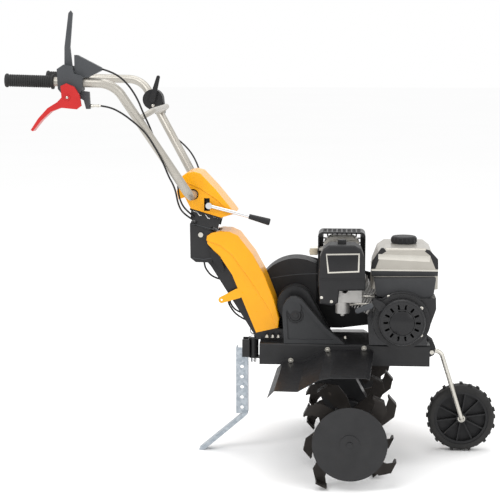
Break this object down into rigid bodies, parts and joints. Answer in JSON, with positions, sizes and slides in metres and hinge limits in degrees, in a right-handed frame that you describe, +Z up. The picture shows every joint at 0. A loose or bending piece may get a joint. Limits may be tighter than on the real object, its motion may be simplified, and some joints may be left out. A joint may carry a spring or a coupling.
{
  "type": "tiller",
  "caption": "Petrol tiller: chain-driven bladed rotor under a chassis, engine and belt drive, swinging and height-set handlebar with levers, drag spur and fold-up front wheel.",
  "frame": {"origin": "on the ground under the middle of the machine's length and width", "axes": "+X forward to the transport wheel, +Z up, +Y to the left of the person who holds the handlebar"},
  "size_m": [1.346, 0.802, 1.257],
  "materials": {
    "body_yellow": "satin moulded",
    "frame_black": "satin black paint",
    "tine_steel": "worn dark paint",
    "tube_grey": "silver-grey paint",
    "steel": "zinc plated",
    "galvanised": "galvanised",
    "chrome": "polished",
    "cast_dark": "painted casting",
    "alloy": "cast alloy",
    "alloy_dark": "dark painted casting",
    "plastic_black": "moulded",
    "plastic_grey": "moulded",
    "red": "moulded red",
    "rubber": "ribbed rubber",
    "tyre": "tread rubber",
    "cable_black": "cable sheath",
    "bearing": "ground steel"
  },
  "bodies": {
    "frame_body": {"chassis": "frame_black", "column": "frame_black", "lower_cover": "body_yellow", "head_bracket": "frame_black", "rear_cover": "plastic_black", "bearing_bracket": "cast_dark", "belt_cover": "body_yellow", "chain_case_left": "frame_black", "chain_case_right": "frame_black", "mudguard_left": "frame_black", "mudguard_right": "frame_black", "crankcase": "alloy_dark", "cylinder": "alloy", "blower_housing": "frame_black", "recoil_cover": "frame_black", "fuel_tank": "tube_grey", "air_cleaner": "plastic_black", "carburettor": "alloy", "muffler": "steel", "muffler_guard": "frame_black", "spark_plug": "rubber", "control_rods": "steel", "lower_cables": "cable_black", "fasteners": "steel", "bearings": "bearing", "drive_belt": "rubber", "drive_chain": "bearing", "hitch_pin": "chrome"},
    "console": {"console_cover": "body_yellow", "console_bracket": "frame_black"},
    "handlebar": {"handle_left": "tube_grey", "handle_right": "tube_grey", "handle_brace": "tube_grey", "grips": "rubber", "lever_housing": "plastic_grey", "throttle_housing": "plastic_black", "clutch_cable": "cable_black", "reverse_cable": "cable_black", "throttle_cable": "cable_black"},
    "clutch_lever_body": {"clutch_lever": "plastic_grey"},
    "reverse_lever_body": {"reverse_lever": "red"},
    "throttle_lever_body": {"throttle_lever": "plastic_black"},
    "lock_lever_body": {"lock_lever": "chrome", "lock_knob": "plastic_black"},
    "hitch": {"hitch_barrel": "frame_black"},
    "spur_body": {"spur": "galvanised"},
    "wheel_arm": {"wheel_rod": "steel"},
    "wheel": {"wheel_rim": "plastic_black", "wheel_tyre": "tyre"},
    "rotor": {"rotor_axle": "frame_black", "tines": "tine_steel", "side_discs": "frame_black"},
    "input": {"input_shaft": "bearing", "driven_pulley": "cast_dark"},
    "crank": {"crankshaft": "bearing", "cooling_fan": "plastic_black"},
    "idler_lever": {"idler_arm": "steel"},
    "idler_wheel": {"idler_pulley": "plastic_black"},
    "fuel_cap_body": {"fuel_cap": "plastic_black"},
    "recoil_grip": {"recoil_handle": "plastic_grey"}
  },
  "joints": [
    {"name": "console_swing", "type": "hinge", "parent": "frame_body", "child": "console", "pos_m": [-0.171, 0, 0.6545], "axis": [0.342, 0, 0.9397], "range_deg": [-15, 15]},
    {"name": "handlebar_height", "type": "hinge", "parent": "console", "child": "handlebar", "pos_m": [-0.197, 0, 0.752], "axis": [0, 1, 0], "range_deg": [-20, 20], "deforming": ["clutch_cable", "reverse_cable", "throttle_cable"]},
    {"name": "clutch_pull", "type": "hinge", "parent": "handlebar", "child": "clutch_lever_body", "pos_m": [-0.501, -0.261, 1.097], "axis": [0, 1, 0], "range_deg": [-70, 0], "stiffness_Nm_per_rad": 0.6, "springref_deg": 20.05},
    {"name": "reverse_pull", "type": "hinge", "parent": "handlebar", "child": "reverse_lever_body", "pos_m": [-0.5, -0.287, 1.044], "axis": [0, 1, 0], "range_deg": [0, 20], "stiffness_Nm_per_rad": 1, "springref_deg": -17.19},
    {"name": "throttle_set", "type": "hinge", "parent": "handlebar", "child": "throttle_lever_body", "pos_m": [-0.346, 0.2, 1.008], "axis": [0, 1, 0], "range_deg": [-30, 30]},
    {"name": "lock_lift", "type": "hinge", "parent": "console", "child": "lock_lever_body", "pos_m": [-0.151, -0.074, 0.722], "axis": [0, 1, 0], "range_deg": [-25, 0], "stiffness_Nm_per_rad": 2, "springref_deg": 28.65},
    {"name": "hitch_swing", "type": "hinge", "parent": "frame_body", "child": "hitch", "pos_m": [-0.03, 0, 0.305], "axis": [0, 0, 1], "range_deg": [-12, 12]},
    {"name": "spur_height", "type": "slide", "parent": "hitch", "child": "spur_body", "axis": [0, 0, 1], "range_m": [0, 0.035]},
    {"name": "wheel_fold", "type": "hinge", "parent": "frame_body", "child": "wheel_arm", "pos_m": [0.48, 0, 0.3006], "axis": [0, 1, 0], "range_deg": [-100, 0]},
    {"name": "wheel_spin", "type": "hinge", "parent": "wheel_arm", "child": "wheel", "pos_m": [0.57, 0.04, 0.1], "axis": [0, 1, 0], "continuous": true},
    {"name": "rotor_spin", "type": "hinge", "parent": "frame_body", "child": "rotor", "pos_m": [0.248, 0, 0.131], "axis": [0, 1, 0], "continuous": true},
    {"name": "input_spin", "type": "hinge", "parent": "frame_body", "child": "input", "pos_m": [0.089, 0, 0.437], "axis": [0, 1, 0], "continuous": true},
    {"name": "crank_spin", "type": "hinge", "parent": "frame_body", "child": "crank", "pos_m": [0.387, 0, 0.42], "axis": [0, 1, 0], "continuous": true},
    {"name": "idler_swing", "type": "hinge", "parent": "frame_body", "child": "idler_lever", "pos_m": [0.18, 0.153, 0.425], "axis": [0, 1, 0], "range_deg": [0, 10]},
    {"name": "idler_spin", "type": "hinge", "parent": "idler_lever", "child": "idler_wheel", "pos_m": [0.232, 0.172, 0.4095], "axis": [0, 1, 0], "continuous": true},
    {"name": "fuel_cap_turn", "type": "hinge", "parent": "frame_body", "child": "fuel_cap_body", "pos_m": [0.396, -0.014, 0.62], "axis": [0, 0, 1], "range_deg": [0, 120]},
    {"name": "recoil_pull", "type": "slide", "parent": "frame_body", "child": "recoil_grip", "axis": [-0.4505, -0.7708, 0.4505], "range_m": [0, 0.35], "stiffness_N_per_m": 20, "springref_m": -0.1}
  ],
  "couplings": [
    {"joint": "input_spin", "follows": "rotor_spin", "ratio": 3},
    {"joint": "idler_swing", "follows": "clutch_pull", "ratio": -0.14286}
  ]
}
